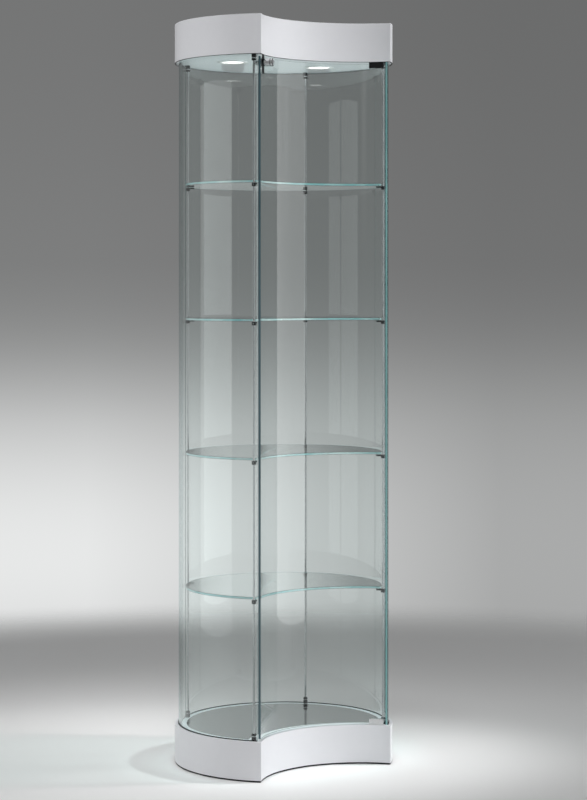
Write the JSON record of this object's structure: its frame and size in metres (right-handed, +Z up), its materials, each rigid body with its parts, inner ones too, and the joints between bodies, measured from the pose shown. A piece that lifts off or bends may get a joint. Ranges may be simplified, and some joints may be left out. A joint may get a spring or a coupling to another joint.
{
  "type": "display case",
  "caption": "Round free-standing glass display case with a hollow front: a pivoting concave glass door with a cam lock, clear shelves on slim uprights, white plinth and lit cap.",
  "frame": {"origin": "on the floor, in the middle of the footprint's box", "axes": "+Z up, the door faces -Y, +X to the right of someone facing the door"},
  "size_m": [0.57, 0.4913, 1.924],
  "materials": {
    "white_lacquer": "gloss white lacquer",
    "raw_board": "plain board",
    "glide": "moulded",
    "mirror": "silvered",
    "upright_steel": "satin",
    "chrome": "polished",
    "zinc_steel": "zinc plated",
    "clamp_metal": "satin",
    "brass": "turned",
    "clear_pad": "clear",
    "glass": "polished, faint green tint",
    "lamp_bezel": "satin white",
    "lamp_lens": "frosted, lit",
    "lamp_can": "plain",
    "driver_case": "moulded",
    "cable": "smooth",
    "black_plate": "satin"
  },
  "bodies": {
    "case": {"cable_grommet": "cable", "cap_ceiling": "white_lacquer", "cap_skin": "white_lacquer", "cap_spacers": "raw_board", "cap_top_board": "white_lacquer", "downlight_bezel_left": "lamp_bezel", "downlight_bezel_right": "lamp_bezel", "downlight_can_left": "lamp_can", "downlight_can_right": "lamp_can", "downlight_lead_left": "cable", "downlight_lead_right": "cable", "downlight_lens_left": "lamp_lens", "downlight_lens_right": "lamp_lens", "floor_glides": "glide", "floor_mirror": "mirror", "glass_back": "glass", "glass_left": "glass", "glass_right": "glass", "hinge_bush_lower": "brass", "hinge_bush_upper": "brass", "lamp_driver": "driver_case", "plinth_base_board": "raw_board", "plinth_deck": "white_lacquer", "plinth_skin": "white_lacquer", "plinth_spacers": "raw_board", "shelf_1": "glass", "shelf_1_clips": "chrome", "shelf_1_pads": "clear_pad", "shelf_2": "glass", "shelf_2_clips": "chrome", "shelf_2_pads": "clear_pad", "shelf_3": "glass", "shelf_3_clips": "chrome", "shelf_3_pads": "clear_pad", "shelf_4": "glass", "shelf_4_clips": "chrome", "shelf_4_pads": "clear_pad", "upright_back_left": "upright_steel", "upright_back_right": "upright_steel", "upright_ferrules_lower": "chrome", "upright_ferrules_upper": "chrome", "upright_front_left": "upright_steel", "upright_front_right": "upright_steel", "upright_nuts_lower": "zinc_steel", "upright_nuts_upper": "zinc_steel"},
    "door": {"door_glass": "glass", "hinge_clamp_lower": "clamp_metal", "hinge_clamp_upper": "clamp_metal", "hinge_pads_lower": "clear_pad", "hinge_pads_upper": "clear_pad", "hinge_pin_lower": "zinc_steel", "hinge_pin_upper": "zinc_steel", "lock_back_plate": "black_plate", "lock_barrel": "chrome", "lock_fixing_ring": "chrome"},
    "lock": {"lock_plug": "chrome", "lock_cam": "zinc_steel"}
  },
  "joints": [
    {"name": "door_swing", "type": "hinge", "parent": "case", "child": "door", "pos_m": [0.18703, -0.22297, 0.96], "axis": [0, 0, 1], "range_deg": [0, 110]},
    {"name": "lock_turn", "type": "hinge", "parent": "door", "child": "lock", "pos_m": [-0.17699, -0.21344, 1.804], "axis": [0.6691, -0.7431, 0], "range_deg": [0, 90]}
  ]
}
